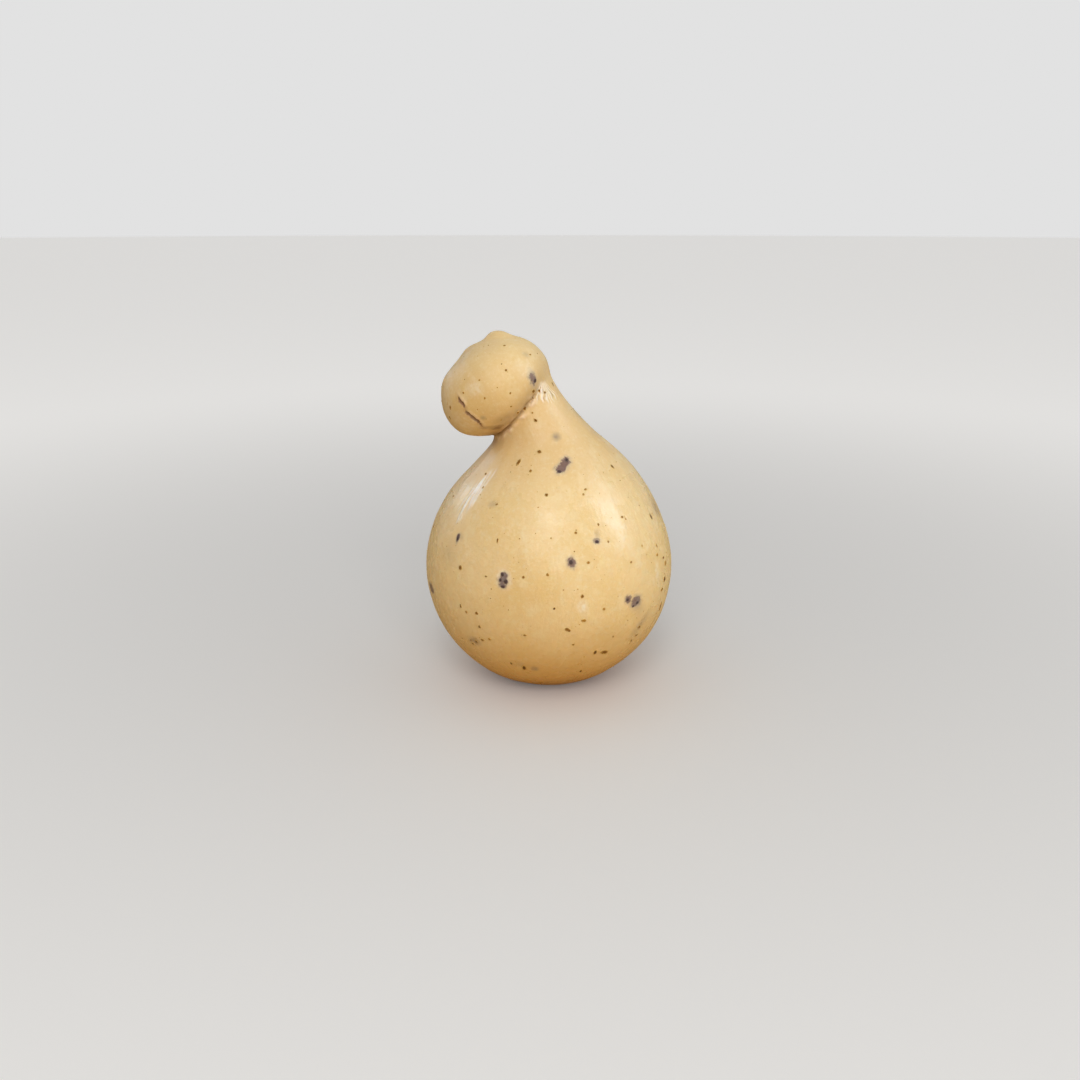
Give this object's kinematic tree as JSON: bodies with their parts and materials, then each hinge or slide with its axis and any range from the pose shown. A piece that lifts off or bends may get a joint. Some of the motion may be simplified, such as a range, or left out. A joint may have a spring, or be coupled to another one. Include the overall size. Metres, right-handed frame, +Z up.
{
  "type": "caciocavallo cheese",
  "caption": "Pear-shaped stretched-curd cheese with a narrow neck and a head slumped to one side, in pale yellow rind with dark truffle flecks; whole food that stands upright.",
  "frame": {"origin": "middle of the flat spot that the cheese stands on", "axes": "+Z up along the body; the slumped head hangs towards -X; -Y faces the picture's viewer"},
  "size_m": [0.126, 0.126, 0.1776],
  "materials": {
    "cheese_rind": "satin, slightly waxy, pale straw yellow with fine streaks",
    "truffle": "matt, brown-black flecks just under the skin"
  },
  "bodies": {
    "root": {"cheese": "cheese_rind"}
  },
  "joints": []
}
